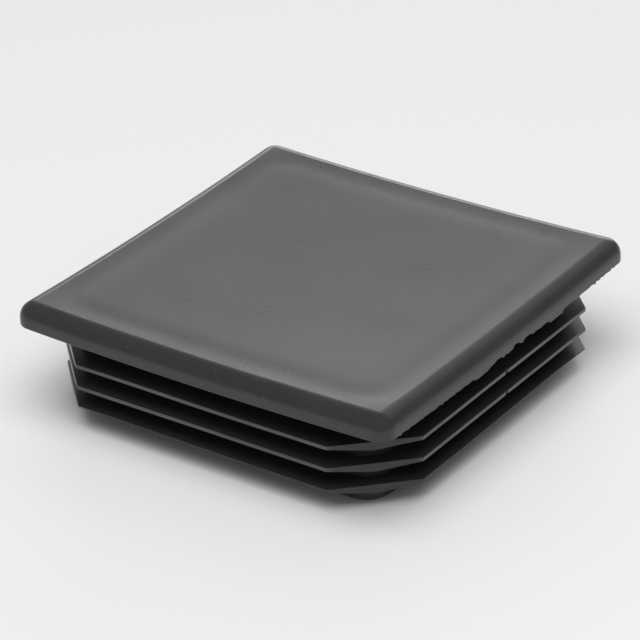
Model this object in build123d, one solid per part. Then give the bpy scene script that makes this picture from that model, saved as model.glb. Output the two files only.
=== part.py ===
"""Square tube end cap: a dished head plate on a hollow plug with three gripping fins.

One moulded piece. Millimetres, +Z up. The origin is the middle of the plug's open rim,
so the cap stands on that rim with its head on top.
"""
import os
from math import radians, sqrt, tan

from build123d import *

# The tube that the cap closes
tube_outside = 100.0          # outside width of the square tube
tube_wall_thinnest = 1.3      # thinnest wall that the fins still grip

# Head plate
head_thickness = 5.5          # height of the plate's side
head_corner_radius = 4.0      # upright corners
head_edge_radius = 3.8        # rounding round the top face
head_dish = 0.9               # how far the middle of each side hangs below the corners
skin_thickness = 3.5          # least thickness above the cavity, in the middle

# Fins round the plug
fin_count = 3
fin_pitch = 5.35
fin_first_drop = 6.1          # from the head's underside, at its corners, to the first fin
fin_reach = 7.2               # how far a fin stands out from the plug's wall
fin_edge = 0.9                # height of a fin's upright outer edge
fin_underside_angle = 10.0    # a fin thickens towards its root at this angle
fin_corner_standoff = 2.7     # cut corners of the fins stand this far outside the plug
lead_in_edge = 0.2            # upright edge left on the last fin, above its lead-in
lead_in_angle = 45.0          # slope of the lead-in under the last fin's edge

# Plug walls and rim
plug_corner_radius = 7.5
plug_draft = 1.7              # degrees, narrows towards the open rim
wall_at_rim = 2.2
core_draft = 1.0              # degrees, the cavity widens towards the open rim
rim_height = 4.1              # plain wall below the last fin's root
rim_chamfer = 0.75            # outer edge of the rim, which starts the plug into the tube
ceiling_chamfer = 1.0         # where the cavity's walls meet its ceiling

# Moulding mark inside the cavity
gate_diameter = 3.0
gate_height = 0.5

# Sizes that follow from those above
head_width = tube_outside
fin_width = tube_outside - 2 * tube_wall_thinnest
plug_width = fin_width - 2 * fin_reach
fin_root = fin_edge + fin_reach * tan(radians(fin_underside_angle))
plug_height = fin_first_drop + (fin_count - 1) * fin_pitch + fin_root + rim_height
total_height = plug_height + head_thickness
plug_rim_width = plug_width - 2 * plug_height * tan(radians(plug_draft))
plug_rim_radius = plug_corner_radius - plug_height * tan(radians(plug_draft))

# The dish is part of a sphere that passes through the head's four top corners.
half_head = head_width / 2
dish_radius = half_head**2 / (2 * head_dish)
dish_centre_z = total_height + sqrt(dish_radius**2 - 2 * half_head**2)
ceiling_z = dish_centre_z - dish_radius - skin_thickness


def ball(radius):
    """A ball about the dish's centre, with its poles and seam away from the plate."""
    return Pos(0, 0, dish_centre_z) * Rot(90, 0, 0) * Sphere(radius)


def head_plate():
    """Rounded square plate of even thickness, dished as a whole.

    A smaller block, swollen by the edge radius, gives the sides, the upright corners and
    the dished top one rounding that runs all the way round.
    """
    core_width = head_width - 2 * head_edge_radius
    outline = RectangleRounded(core_width, core_width, head_corner_radius - head_edge_radius)
    depth = head_thickness + 2 * head_dish + 2 * head_edge_radius
    core = extrude(Pos(0, 0, total_height) * outline, -depth)
    core -= ball(dish_radius + head_edge_radius)
    swollen = offset(core, amount=head_edge_radius, kind=Kind.ARC)
    return swollen & ball(dish_radius + head_thickness)


def plug_body():
    """Drafted box with rounded corners, from inside the head down to the rim."""
    outline = RectangleRounded(plug_width, plug_width, plug_corner_radius)
    body = extrude(Pos(0, 0, plug_height) * outline, plug_height, dir=(0, 0, -1),
                   taper=plug_draft)
    rim_edges = body.faces().sort_by(Axis.Z)[0].edges()
    return chamfer(rim_edges, rim_chamfer)


def square_frustum(top_z, width, angle, depth):
    """Square block that narrows downwards from a width, at an angle below horizontal."""
    bottom_width = width - 2 * depth / tan(radians(angle))
    top = Pos(0, 0, top_z) * Rectangle(width, width)
    bottom = Pos(0, 0, top_z - depth) * Rectangle(bottom_width, bottom_width)
    return loft([top, bottom])


def square_block(top_z, width, depth):
    """Upright square block that hangs from a level."""
    return extrude(Pos(0, 0, top_z) * Rectangle(width, width), -depth)


def fin(top_z):
    """Flat-topped square fin: an upright edge, then an underside that slopes to the root."""
    slope = square_frustum(top_z - fin_edge, fin_width, fin_underside_angle, fin_root - fin_edge)
    return square_block(top_z, fin_width, fin_edge) + slope


def lead_in(top_z):
    """What is left of the last fin: a thin edge, then a slope that guides the plug in."""
    slope = square_frustum(top_z - lead_in_edge, fin_width, lead_in_angle, fin_root)
    return square_block(top_z, fin_width, lead_in_edge) + slope


def fins():
    """Every fin, with the corners cut to one upright plane each."""
    top_levels = [plug_height - fin_first_drop - i * fin_pitch for i in range(fin_count)]
    stack = [fin(top_z) for top_z in top_levels]
    stack[-1] &= lead_in(top_levels[-1])
    corner_reach = (plug_width / 2 - plug_corner_radius) * sqrt(2) + plug_corner_radius
    cut_width = 2 * (corner_reach + fin_corner_standoff)
    corner_cut = extrude(Rot(0, 0, 45) * Rectangle(cut_width, cut_width), plug_height)
    return [one & corner_cut for one in stack]


def cavity():
    """Hollow inside the plug, open at the rim, with the head's skin left above it."""
    width = plug_rim_width - 2 * wall_at_rim
    outline = RectangleRounded(width, width, plug_rim_radius - wall_at_rim)
    core = extrude(outline, ceiling_z, taper=core_draft)
    ceiling = core.faces().sort_by(Axis.Z)[-1]
    return chamfer(ceiling.edges(), ceiling_chamfer)


def gate_mark():
    """Stub left where the plastic entered, in the middle of the cavity's ceiling."""
    return Pos(0, 0, ceiling_z) * Cylinder(gate_diameter / 2, 2 * gate_height)


def end_cap():
    cap = head_plate() + plug_body()
    for one in fins():
        cap += one
    return cap - cavity() + gate_mark()


os.makedirs("parts", exist_ok=True)
cap = end_cap()
cap.label = "end_cap"
export_step(cap, "parts/end_cap.step")
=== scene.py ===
"""Looks of the square tube end cap: one moulded piece in dark plastic, on a pale floor.

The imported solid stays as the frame. The visible piece has the same form, with softened
edges, the slight waves of a cooled moulding, a ragged line of flash under one side of the
head, two nicks and a grained finish. Lengths of the cap and of the camera's place are in
millimetres, and those of the floor and the lamps in metres.
"""
import math

import bmesh
import bpy
from mathutils import Matrix, Vector, noise

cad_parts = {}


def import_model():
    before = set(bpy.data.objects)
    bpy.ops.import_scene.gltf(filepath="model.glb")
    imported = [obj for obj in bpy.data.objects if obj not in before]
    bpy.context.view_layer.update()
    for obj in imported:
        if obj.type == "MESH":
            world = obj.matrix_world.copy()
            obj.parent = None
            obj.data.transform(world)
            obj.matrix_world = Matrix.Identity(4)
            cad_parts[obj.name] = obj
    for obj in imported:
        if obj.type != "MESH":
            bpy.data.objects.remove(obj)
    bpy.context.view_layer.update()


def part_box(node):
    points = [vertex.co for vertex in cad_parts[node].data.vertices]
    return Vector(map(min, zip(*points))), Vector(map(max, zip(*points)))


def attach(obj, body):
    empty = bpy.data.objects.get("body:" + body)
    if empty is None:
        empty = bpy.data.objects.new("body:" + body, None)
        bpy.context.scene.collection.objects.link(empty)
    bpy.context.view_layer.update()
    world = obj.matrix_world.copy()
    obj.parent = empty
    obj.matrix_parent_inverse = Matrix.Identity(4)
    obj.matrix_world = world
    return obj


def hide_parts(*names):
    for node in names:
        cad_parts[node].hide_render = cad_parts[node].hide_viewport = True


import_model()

MM = 0.001                      # one millimetre in metres
NODE = "end_cap"
LOW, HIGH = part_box(NODE)

# Head plate
HALF_HEAD = (HIGH.x - LOW.x) / 2 / MM
HEAD_THICKNESS = 5.5
HEAD_CORNER_RADIUS = 4.0
HEAD_EDGE_RADIUS = 3.8
HEAD_DISH = 0.9                 # middle of each side below the corners
LOWER_EDGE_RADIUS = 0.15
SIDE_LIFTS = (1.4, 0.8, 0.45)   # heights of the side's rings above the head's underside
UNDERSIDE_SHARES = (0.1, 0.35, 0.65, 1.0)       # of the way in from its edge to the plug

# Fins
FIN_COUNT = 3
FIN_PITCH = 5.35
FIN_FIRST_DROP = 6.1
FIN_REACH = 7.2
FIN_EDGE = 0.9
FIN_SLOPE = math.tan(math.radians(10.0))
FIN_CORNER_STANDOFF = 2.7
FIN_EDGE_RADIUS = 0.1
FIN_INSET = 1.3                 # of the fins' edges from the head's
HALF_FIN = HALF_HEAD - FIN_INSET
LEAD_IN_EDGE = 0.2              # the last fin's edge, which thickens inwards at 45 degrees
FIN_TOP_SHARES = (0.4, 0.8)     # rings across a fin, as shares of the way out
FIN_UNDER_SHARES = (0.6, 0.2)

# Plug
HALF_PLUG = HALF_FIN - FIN_REACH
PLUG_CORNER_RADIUS = 7.5
PLUG_DRAFT = math.tan(math.radians(1.7))
FIN_ROOT = FIN_EDGE + FIN_REACH * FIN_SLOPE
RIM_HEIGHT = 4.1
RIM_CHAMFER = 0.75
# Its rings are (up, in), as shares of the chamfer, eased past both of its ends.
RIM_CHAMFER_STEPS = ((1.15, 0.0), (0.85, 0.15), (0.15, 0.85), (0.0, 1.15))
RIM_INNER_RADIUS = 0.15
WALL_AT_RIM = 2.2
CORE_DRAFT = math.tan(math.radians(1.0))
CORE_SHARES = (0.3, 0.65)       # rings up the cavity's walls
CEILING_CHAMFER = 1.0
SKIN_THICKNESS = 3.5
GATE_RADIUS = 1.5
GATE_HEIGHT = 0.5
GATE_SEGMENTS = 48

PLUG_HEIGHT = FIN_FIRST_DROP + (FIN_COUNT - 1) * FIN_PITCH + FIN_ROOT + RIM_HEIGHT
TOTAL_HEIGHT = PLUG_HEIGHT + HEAD_THICKNESS
DISH_RADIUS = HALF_HEAD**2 / (2 * HEAD_DISH)
DISH_CENTRE = TOTAL_HEIGHT + math.sqrt(DISH_RADIUS**2 - 2 * HALF_HEAD**2)
CEILING_Z = DISH_CENTRE - DISH_RADIUS - SKIN_THICKNESS

# Shrinkage of the moulding
FURROW_INSET = 7.4              # a shallow furrow runs round the top, inside its edge
FURROW_DEPTH = 0.085
FURROW_WIDTH = 3.6
SWELL_HEIGHT = 0.05             # slow swells of the top face
SWELL_LENGTH = 22.0
SWELL_LOWERING = 0.5            # keeps the swells mostly below the dish
SWELL_SLICE = 7.0               # third coordinate of the noise, so that each use differs
FIN_WAVE = 0.32                 # how far a fin's edge wanders up and down
FIN_WAVE_LENGTH = 38.0
FIN_WAVE_POWER = 1.5            # above 1 the wander gathers at the edge
FIN_WAVE_SLICES = 40.0          # from one fin's noise to the next

# Flash: the ragged line under the head's +X side. Its five largest marks are (middle, length,
# hang) along Y, placed after the photograph's to half a millimetre: a flake hangs below the edge,
# and a bite, of negative hang, goes up into it. Noise makes the rest.
FLASH = ((-12.5, 6.0, 0.5), (-5.5, 2.0, -0.5), (2.0, 3.0, -0.7), (7.0, 3.0, -0.5),
         (18.5, 6.0, 0.7))
FLASH_FADE = 0.15               # length over which a flake or bite comes in
FLASH_JAG = 0.5                 # fine teeth along the whole line
FLASH_JAG_LENGTH = 0.95
FLASH_SLICE = 3.0
FLASH_END_FADE = 2.0            # length over which the line dies out towards a corner
HANG_SHARES = (0.0, 0.3, 0.7)   # of the hang that each of the side's rings takes, from the top
NICKS = ((0, 0.0), (1, 0.0))    # fin and place along Y of the small cuts in the +X edges
NICK_DEPTH = 0.9
NICK_WIDTH = 0.25
NICK_BAND = 1.0                 # only points this near the +X edge move

# Mesh density and shading
SIDE_STEPS = 160
CORNER_STEPS = 8
ROUNDING_STEPS = 10
EDGE_STEPS = 3
RIM_STEPS = 2
SHARP_ANGLE = math.radians(35)

# Black plastic
SPECULAR = 0.5
EDGE_HIGHLIGHT_TONES = (0.02, 0.055)       # painted highlight added to the fins' edges
BASE_TONES = (0.026, 0.031)     # linear grey, over slow patches
GRAIN_TONES = (0.93, 1.07)
CLOUD_SIZE = 11.0
CLOUD_DETAIL = 4.0
GRAIN_SIZE = 0.5
GRAIN_DETAIL = 2.0
GRAIN_HEIGHT = 0.009
LUMP_SIZE = 4.0                 # faint unevenness, under the grain
LUMP_DETAIL = 3.0
LUMP_HEIGHT = 0.005
GRAIN_GLOSS = 0.02
ROUGHNESS_RANGE = (0.285, 0.31)
SPECK_SIZE = 0.8
SPECK_DETAIL = 1.0
SPECK_CUT = (0.70, 0.76)
SPECK_TONE = 0.03
TONE_SPAN = (0.3, 0.7)          # part of a noise field that a tone or gloss is mapped from
GRAIN_GLOSS_SPAN = (0.25, 0.75)

# Studio
FLOOR_SIZE = 6.0
FLOOR_TONE = 0.88
FLOOR_ROUGHNESS = 0.9
SKY = 0.3                       # strength of the white world


# ---------------------------------------------------------------- outlines and levels

def walk(straight, corner):
    """Points round a square, anticlockwise from the -X -Y diagonal.

    straight is half the straight run of a side; corner(v) gives (along, outward) from the
    run's end, v = 0, to the diagonal, v = 1.
    """
    side = []
    for i in range(CORNER_STEPS):
        along, out = corner(1 - i / CORNER_STEPS)
        side.append((-along, out))
    out = corner(0)[1]
    for i in range(SIDE_STEPS + 1):
        side.append((straight * (2 * i / SIDE_STEPS - 1), out))
    for i in range(1, CORNER_STEPS):
        side.append(corner(i / CORNER_STEPS))
    points = []
    for quarter in range(4):
        c = round(math.cos(quarter * math.pi / 2))
        s = round(math.sin(quarter * math.pi / 2))
        points += [(along * c + out * s, along * s - out * c) for along, out in side]
    return points


def rounded(half, radius):
    """Outline of a square with rounded corners."""
    straight = half - radius

    def corner(v):
        angle = v * math.pi / 4
        return straight + radius * math.sin(angle), straight + radius * math.cos(angle)

    return walk(straight, corner)


def cut_cornered(inset):
    """Outline of a fin, with each corner cut to a plane, drawn in by an inset."""
    half = HALF_FIN - inset
    diagonal = (HALF_PLUG - PLUG_CORNER_RADIUS) * math.sqrt(2) + PLUG_CORNER_RADIUS
    reach = (diagonal + FIN_CORNER_STANDOFF - inset) * math.sqrt(2)
    straight = reach - half
    middle = reach / 2

    def corner(v):
        return straight + (middle - straight) * v, half + (middle - half) * v

    return walk(straight, corner)


def plug_outline(z, inset=0.0):
    """Outline of the drafted plug at a height, drawn in by an inset."""
    shrink = (PLUG_HEIGHT - z) * PLUG_DRAFT + inset
    return rounded(HALF_PLUG - shrink, PLUG_CORNER_RADIUS - shrink)


def core_outline(z, inset=0.0):
    """Outline of the cavity at a height, drawn in by an inset."""
    shrink = PLUG_HEIGHT * PLUG_DRAFT + WALL_AT_RIM + z * CORE_DRAFT + inset
    return rounded(HALF_PLUG - shrink, PLUG_CORNER_RADIUS - shrink)


def dish_z(x, y, depth):
    """Height of the dished plate at a depth under its top face."""
    return DISH_CENTRE - math.sqrt((DISH_RADIUS + depth)**2 - x * x - y * y)


def held(share):
    """A number kept between 0 and 1."""
    return min(max(share, 0.0), 1.0)


def at_level(outline, z):
    return [Vector((x, y, z)) for x, y in outline]


def on_dish(outline, depth, lift=0.0):
    return [Vector((x, y, dish_z(x, y, depth) + lift)) for x, y in outline]


def settled(x, y):
    """How far the cooled top face lies off its dish: a furrow by the edge, and swells."""
    span = HALF_HEAD - 2 * FURROW_INSET
    dx = max(abs(x) - span, 0.0)
    dy = max(abs(y) - span, 0.0)
    off = math.hypot(dx, dy) - FURROW_INSET
    furrow = -FURROW_DEPTH * math.exp(-(off / FURROW_WIDTH)**2)
    swell = noise.noise(Vector((x, y, SWELL_SLICE)) / SWELL_LENGTH)
    return furrow + SWELL_HEIGHT * (swell - SWELL_LOWERING)


# ---------------------------------------------------------------- sections, as rings

def top_rounding_rings():
    """From the dished top to the upright side, a ball's path round the edge."""
    inner = rounded(HALF_HEAD - HEAD_EDGE_RADIUS, HEAD_CORNER_RADIUS - HEAD_EDGE_RADIUS)
    outer = rounded(HALF_HEAD, HEAD_CORNER_RADIUS)
    rings = [[] for _ in range(ROUNDING_STEPS + 1)]
    for (x, y), (ox, oy) in zip(inner, outer):
        centre = Vector((x, y, dish_z(x, y, HEAD_EDGE_RADIUS)))
        up = (Vector((0, 0, DISH_CENTRE)) - centre).normalized()
        side = Vector((ox - x, oy - y, 0)).normalized()
        for i, ring in enumerate(rings):
            turn = i / ROUNDING_STEPS
            point = centre + HEAD_EDGE_RADIUS * up.slerp(side, turn)
            point.z += settled(x, y) * (1 - turn)
            ring.append(point)
    return rings


def head_side_rings():
    """Down the head's side and round its lower edge to the underside."""
    outer = rounded(HALF_HEAD, HEAD_CORNER_RADIUS)
    inner = rounded(HALF_HEAD - LOWER_EDGE_RADIUS, HEAD_CORNER_RADIUS - LOWER_EDGE_RADIUS)
    rings = [on_dish(outer, HEAD_THICKNESS, lift) for lift in SIDE_LIFTS]
    rings += edge_rings(outer, inner, lambda x, y: dish_z(x, y, HEAD_THICKNESS),
                        LOWER_EDGE_RADIUS, False)
    for ring, share in zip(rings, HANG_SHARES + (1.0,) * (EDGE_STEPS + 1)):
        for point in ring:
            if point.x > HALF_HEAD - 2 * LOWER_EDGE_RADIUS:
                point.z -= flash_hang(point.y) * share
    return rings


def flash_hang(y):
    """How far the ragged line of flash hangs below the head's lower edge."""
    hang = FLASH_JAG * noise.noise(Vector((y / FLASH_JAG_LENGTH, FLASH_SLICE, 0.0)))
    for middle, length, depth in FLASH:
        hang += depth * held((length / 2 - abs(y - middle)) / FLASH_FADE)
    return hang * held((HALF_HEAD - HEAD_CORNER_RADIUS - abs(y)) / FLASH_END_FADE)


def edge_rings(outer, inner, level, radius, from_top):
    """Rings of the quarter-round between a flat face and an upright edge.

    level(x, y) is the flat face's height. From the top it runs outwards and down, and
    otherwise down and inwards.
    """
    sign = -1 if from_top else 1
    rings = []
    for step in range(EDGE_STEPS + 1):
        t = step / EDGE_STEPS if from_top else 1 - step / EDGE_STEPS
        out = math.sin(t * math.pi / 2)
        drop = radius * (1 - math.cos(t * math.pi / 2))
        ring = []
        for (ox, oy), (ix, iy) in zip(outer, inner):
            x = ix + (ox - ix) * out
            y = iy + (oy - iy) * out
            ring.append(Vector((x, y, level(ix, iy) + sign * drop)))
        rings.append(ring)
    return rings


def underside_rings():
    """Across the head's underside to the plug."""
    rings = []
    for t in UNDERSIDE_SHARES:
        half = HALF_HEAD + (HALF_PLUG - HALF_HEAD) * t
        radius = HEAD_CORNER_RADIUS + (PLUG_CORNER_RADIUS - HEAD_CORNER_RADIUS) * t
        rings.append(on_dish(rounded(half, radius), HEAD_THICKNESS))
    return rings


def fin_under(x, y, top_z, last):
    """Height of a fin's underside: it thickens inwards, and the last has a lead-in."""
    inwards = HALF_FIN - max(abs(x), abs(y))
    thickness = min(FIN_EDGE + FIN_SLOPE * inwards, FIN_ROOT)
    if last:
        thickness = min(thickness, LEAD_IN_EDGE + max(inwards, 0.0))
    return top_z - thickness


def wandering(rings, index):
    """Lets a fin wander up and down, most at its edge and not at all at its root."""
    for ring in rings:
        for point in ring:
            reach = max(abs(point.x), abs(point.y)) - HALF_PLUG
            place = Vector((point.x, point.y, FIN_WAVE_SLICES * index))
            drift = noise.noise(place / FIN_WAVE_LENGTH)
            point.z += FIN_WAVE * drift * max(reach / FIN_REACH, 0.0)**FIN_WAVE_POWER
    return rings


def between(ring_a, ring_b, t):
    return [a.lerp(b, t) for a, b in zip(ring_a, ring_b)]


def fin_rings(index):
    """Out along a fin's top, round its edge and back along its underside."""
    top_z = PLUG_HEIGHT - FIN_FIRST_DROP - index * FIN_PITCH
    last = index == FIN_COUNT - 1
    radius = LEAD_IN_EDGE / 2 if last else FIN_EDGE_RADIUS
    outer = cut_cornered(0.0)
    inner = cut_cornered(radius)
    root_top = at_level(plug_outline(top_z), top_z)
    upper = edge_rings(outer, inner, lambda x, y: top_z, radius, True)
    lower = edge_rings(outer, inner, lambda x, y: fin_under(x, y, top_z, last), radius, False)
    root_low = [Vector((x, y, fin_under(x, y, top_z, last)))
                for x, y in plug_outline(top_z - FIN_ROOT)]
    rings = [root_top] + [between(root_top, upper[0], share) for share in FIN_TOP_SHARES]
    rings += upper + lower
    rings += [between(root_low, lower[-1], share) for share in FIN_UNDER_SHARES] + [root_low]
    for nicked, place in NICKS:
        if nicked == index:
            cut_nick(upper + lower, place)
    return wandering(rings, index)


def cut_nick(rings, place):
    """Draws in the edge of a fin's +X side at one place along Y."""
    for ring in rings:
        for point in ring:
            if point.x > HALF_FIN - NICK_BAND:
                point.x -= NICK_DEPTH * math.exp(-((point.y - place) / NICK_WIDTH)**2)


def foot_rings():
    """Eased foot of the plug, the open rim and the cavity's walls."""
    rings = []
    for rise, inset in RIM_CHAMFER_STEPS:
        z = RIM_CHAMFER * rise
        rings.append(at_level(plug_outline(z, RIM_CHAMFER * inset), z))
    for step in range(RIM_STEPS + 1):
        angle = step / RIM_STEPS * math.pi / 2
        inset = RIM_INNER_RADIUS * (math.sin(angle) - 1)
        z = RIM_INNER_RADIUS * (1 - math.cos(angle))
        rings.append(at_level(core_outline(0.0, inset), z))
    low = CEILING_Z - CEILING_CHAMFER
    for z in [CEILING_Z * share for share in CORE_SHARES] + [low]:
        rings.append(at_level(core_outline(z), z))
    rings.append(at_level(core_outline(low, CEILING_CHAMFER), CEILING_Z))
    return rings


# ---------------------------------------------------------------- mesh

def head_grid():
    """Square grid over the dished top, out to the straight runs of the rounding."""
    reach = HALF_HEAD - HEAD_CORNER_RADIUS
    rows = []
    for j in range(SIDE_STEPS + 1):
        y = reach * (2 * j / SIDE_STEPS - 1)
        row = []
        for i in range(SIDE_STEPS + 1):
            x = reach * (2 * i / SIDE_STEPS - 1)
            row.append(Vector((x, y, dish_z(x, y, 0.0) + settled(x, y))))
        rows.append(row)
    return rows


def build_cap():
    mesh = bmesh.new()
    rings = top_rounding_rings() + head_side_rings() + underside_rings()
    for index in range(FIN_COUNT):
        rings += fin_rings(index)
    rings += foot_rings()
    loops = [[mesh.verts.new(p * MM) for p in ring] for ring in rings]
    for a, b in zip(loops, loops[1:]):
        for i in range(len(a)):
            j = (i + 1) % len(a)
            mesh.faces.new((a[i], b[i], b[j], a[j]))
    mesh.faces.new(loops[-1])
    grid = [[mesh.verts.new(p * MM) for p in row] for row in head_grid()]
    for low_row, high_row in zip(grid, grid[1:]):
        for i in range(SIDE_STEPS):
            mesh.faces.new((low_row[i], low_row[i + 1], high_row[i + 1], high_row[i]))
    close_top(mesh, grid, loops[0])
    add_gate_stub(mesh)
    bmesh.ops.recalc_face_normals(mesh, faces=mesh.faces)
    data = bpy.data.meshes.new("moulded_cap")
    mesh.to_mesh(data)
    mesh.free()
    mark_painted_edge_highlight(data)
    return data


def close_top(mesh, grid, ring):
    """Joins the grid's border to the ring, with a fan at each corner."""
    n = SIDE_STEPS
    borders = [grid[0], [row[n] for row in grid], grid[n][::-1], [row[0] for row in grid][::-1]]
    side_length = SIDE_STEPS + 2 * CORNER_STEPS
    for quarter, border in enumerate(borders):
        start = quarter * side_length + CORNER_STEPS
        for i in range(n):
            mesh.faces.new((border[i], ring[start + i], ring[start + i + 1], border[i + 1]))
        end = start + n
        for i in range(2 * CORNER_STEPS):
            a = ring[(end + i) % len(ring)]
            b = ring[(end + i + 1) % len(ring)]
            mesh.faces.new((border[n], a, b))


def mark_painted_edge_highlight(data):
    """Marks the upright edges of the full fins, above the last, for a painted highlight."""
    marks = data.attributes.new("edge_highlight_mask", "FLOAT", "POINT")
    last_top = PLUG_HEIGHT - FIN_FIRST_DROP - (FIN_COUNT - 1) * FIN_PITCH
    for vertex in data.vertices:
        point = vertex.co / MM
        out = max(abs(point.x), abs(point.y))
        full = last_top + 2 * FIN_WAVE < point.z < PLUG_HEIGHT - FIN_FIRST_DROP / 2
        on_edge = abs(out - HALF_FIN) < FIN_EDGE_RADIUS / 2
        marks.data[vertex.index].value = 1.0 if full and on_edge else 0.0


def add_gate_stub(mesh):
    """Short round stub on the cavity's ceiling, where the plastic came in."""
    place = Matrix.Translation(Vector((0, 0, CEILING_Z)) * MM)
    bmesh.ops.create_cone(mesh, cap_ends=True, segments=GATE_SEGMENTS,
                          radius1=GATE_RADIUS * MM, radius2=GATE_RADIUS * MM,
                          depth=2 * GATE_HEIGHT * MM, matrix=place)


# ---------------------------------------------------------------- material

def plastic():
    """Black moulded plastic: grain, faint patches, a few specks and a painted highlight on the
    fins' edges.
    """
    material = bpy.data.materials.new("black_plastic")
    material.use_nodes = True
    tree = material.node_tree
    shader = tree.nodes["Principled BSDF"]
    shader.inputs["Specular IOR Level"].default_value = SPECULAR
    where = tree.nodes.new("ShaderNodeTexCoord").outputs["Object"]
    clouds = noise_field(tree, where, CLOUD_SIZE, CLOUD_DETAIL)
    grain = noise_field(tree, where, GRAIN_SIZE, GRAIN_DETAIL)
    specks = noise_field(tree, where, SPECK_SIZE, SPECK_DETAIL)

    tone = mapped(tree, clouds, TONE_SPAN, BASE_TONES)
    grained = mapped(tree, grain, TONE_SPAN, GRAIN_TONES)
    dusted = mapped(tree, specks, SPECK_CUT, (0.0, SPECK_TONE))
    shade = calculated(tree, "MULTIPLY", tone, grained)
    # painted highlight: a lighter base colour along the upper fins' edges, standing in for light
    # caught by them
    edge_highlight_mask = tree.nodes.new("ShaderNodeAttribute")
    edge_highlight_mask.attribute_name = "edge_highlight_mask"
    highlight_tone = mapped(tree, clouds, TONE_SPAN, EDGE_HIGHLIGHT_TONES)
    painted_highlight = calculated(tree, "MULTIPLY", edge_highlight_mask.outputs["Fac"], highlight_tone)
    colour = calculated(tree, "ADD", calculated(tree, "ADD", shade, dusted), painted_highlight)
    tree.links.new(colour, shader.inputs["Base Color"])

    roughness = mapped(tree, clouds, TONE_SPAN, ROUGHNESS_RANGE)
    fine = mapped(tree, grain, GRAIN_GLOSS_SPAN, (-GRAIN_GLOSS, GRAIN_GLOSS))
    tree.links.new(calculated(tree, "ADD", roughness, fine), shader.inputs["Roughness"])

    lumps = noise_field(tree, where, LUMP_SIZE, LUMP_DETAIL)
    uneven = bumped(tree, lumps, LUMP_HEIGHT)
    grainy = bumped(tree, grain, GRAIN_HEIGHT)
    tree.links.new(uneven, grainy.node.inputs["Normal"])
    tree.links.new(grainy, shader.inputs["Normal"])
    return material


def bumped(tree, height, depth):
    """Normal of a surface raised by a field from 0 to 1."""
    node = tree.nodes.new("ShaderNodeBump")
    node.inputs["Distance"].default_value = depth * MM
    tree.links.new(height, node.inputs["Height"])
    return node.outputs["Normal"]


def noise_field(tree, where, size, detail):
    """Noise from 0 to 1 whose lumps are about a size across."""
    node = tree.nodes.new("ShaderNodeTexNoise")
    node.inputs["Scale"].default_value = 1 / (size * MM)
    node.inputs["Detail"].default_value = detail
    tree.links.new(where, node.inputs["Vector"])
    return node.outputs["Fac"]


def mapped(tree, value, source, target):
    """Value taken from one range to another, and held inside it."""
    node = tree.nodes.new("ShaderNodeMapRange")
    node.inputs["From Min"].default_value = source[0]
    node.inputs["From Max"].default_value = source[1]
    node.inputs["To Min"].default_value = target[0]
    node.inputs["To Max"].default_value = target[1]
    tree.links.new(value, node.inputs["Value"])
    return node.outputs["Result"]


def calculated(tree, operation, first, second):
    node = tree.nodes.new("ShaderNodeMath")
    node.operation = operation
    tree.links.new(first, node.inputs[0])
    tree.links.new(second, node.inputs[1])
    return node.outputs["Value"]


# ---------------------------------------------------------------- stage

def floor():
    bpy.ops.mesh.primitive_plane_add(size=FLOOR_SIZE)
    plane = bpy.context.object
    plane.name = "floor"
    material = bpy.data.materials.new("pale_floor")
    material.use_nodes = True
    shader = material.node_tree.nodes["Principled BSDF"]
    shader.inputs["Base Color"].default_value = (FLOOR_TONE, FLOOR_TONE, FLOOR_TONE, 1)
    shader.inputs["Roughness"].default_value = FLOOR_ROUGHNESS
    shader.inputs["Specular IOR Level"].default_value = 0.0
    plane.data.materials.append(material)


def panel(name, azimuth, elevation, distance, width, height, radiance):
    """Lamp facing the cap; azimuth runs from +Y towards +X. radiance is what its face shows.

    Returns the lamp.
    """
    turn = math.radians(azimuth)
    rise = math.radians(elevation)
    place = distance * Vector((math.sin(turn) * math.cos(rise),
                               math.cos(turn) * math.cos(rise), math.sin(rise)))
    data = bpy.data.lights.new(name, "AREA")
    data.shape = "RECTANGLE"
    data.size = width
    data.size_y = height
    data.energy = radiance * math.pi * width * height
    lamp = bpy.data.objects.new(name, data)
    lamp.location = place
    lamp.rotation_euler = (-place).to_track_quat("-Z", "Y").to_euler()
    bpy.context.scene.collection.objects.link(lamp)
    return lamp


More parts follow.
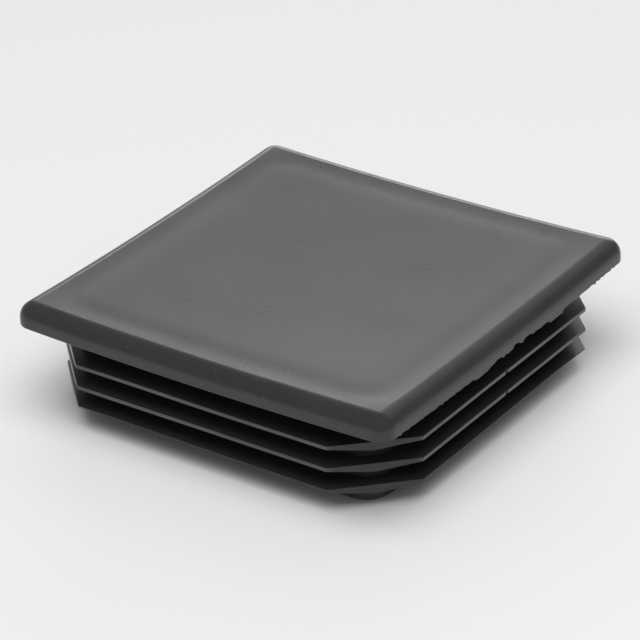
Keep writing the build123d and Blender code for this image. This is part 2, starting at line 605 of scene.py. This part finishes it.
def world():
    sky = bpy.data.worlds.new("studio")
    bpy.context.scene.world = sky
    sky.use_nodes = True
    sky.node_tree.nodes["Background"].inputs["Color"].default_value = (1, 1, 1, 1)
    sky.node_tree.nodes["Background"].inputs["Strength"].default_value = SKY


def camera():
    """The photograph's viewpoint, fitted to the head's edges and the fins."""
    azimuth = math.radians(35.447)
    elevation = math.radians(28.685)
    roll = math.radians(-1.740)
    distance = 772.97
    slide_right = -0.791
    slide_up = -11.630
    back = Vector((math.sin(azimuth) * math.cos(elevation),
                   -math.cos(azimuth) * math.cos(elevation), math.sin(elevation)))
    level = Vector((math.cos(azimuth), math.sin(azimuth), 0))
    upright = back.cross(level)
    right = math.cos(roll) * level + math.sin(roll) * upright
    up = math.cos(roll) * upright - math.sin(roll) * level
    place = Vector((0, 0, TOTAL_HEIGHT)) + distance * back + slide_right * right + slide_up * up
    data = bpy.data.cameras.new("camera")
    data.sensor_width = 36.0
    data.lens = 192.714
    data.clip_start = 0.01
    eye = bpy.data.objects.new("camera", data)
    eye.matrix_world = (Matrix.Translation(place * MM)
                        @ Matrix((right, up, back)).transposed().to_4x4())
    bpy.context.scene.collection.objects.link(eye)
    bpy.context.scene.camera = eye


cap = bpy.data.objects.new("moulded_cap", build_cap())
bpy.context.scene.collection.objects.link(cap)
cap.data.materials.append(plastic())
for polygon in cap.data.polygons:
    polygon.use_smooth = True
cap.data.set_sharp_from_angle(angle=SHARP_ANGLE)
weighted = cap.modifiers.new("even_normals", "WEIGHTED_NORMAL")
weighted.keep_sharp = True
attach(cap, "root")
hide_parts(NODE)

floor()
world()
ceiling = panel("ceiling", azimuth=150, elevation=72, distance=1.2, width=1.1, height=1.1,
                radiance=3.1)
ceiling.visible_glossy = False  # the photograph shows no lamp in the rounding at the front
panel("back_panel", azimuth=-10, elevation=42, distance=1.3, width=1.3, height=0.5,
      radiance=0.4)
panel("low_panel", azimuth=-26, elevation=17, distance=1.4, width=1.0, height=0.24,
      radiance=5.1)
camera()
bpy.context.scene.view_settings.view_transform = "Standard"
